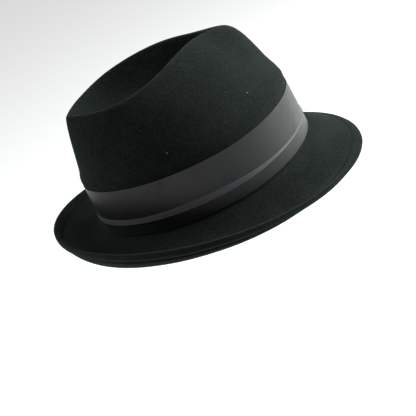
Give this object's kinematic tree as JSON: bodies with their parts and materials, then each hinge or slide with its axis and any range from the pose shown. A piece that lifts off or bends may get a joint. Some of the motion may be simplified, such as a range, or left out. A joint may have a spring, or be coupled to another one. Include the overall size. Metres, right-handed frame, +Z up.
{
  "type": "fedora hat",
  "caption": "Felt fedora hat with a teardrop crown crease, front pinches, wide ribbon with a flat side bow, folded brim edge, leather sweatband and lining.",
  "frame": {"origin": "middle of the head opening, level with the foot of the crown", "axes": "+Z up through the crown, -Y towards the front of the hat, +X towards the wearer's left, where the bow is"},
  "size_m": [0.2522, 0.2874, 0.1452],
  "materials": {
    "felt": "brushed wool felt",
    "ribbon": "satin ribbon",
    "sweatband": "smooth leather",
    "reed": "smooth",
    "tape": "woven cotton tape",
    "seam_trim": "satin ribbon",
    "lining": "satin"
  },
  "bodies": {
    "root": {"felt_body": "felt", "hat_band": "ribbon", "bow_loops": "ribbon", "bow_tails": "ribbon", "bow_knot": "ribbon", "sweatband": "sweatband", "sweatband_reed": "reed", "reed_tape": "tape", "seam_ribbon": "seam_trim", "seam_bow": "seam_trim", "lining_side": "lining", "lining_tip": "lining"}
  },
  "joints": []
}
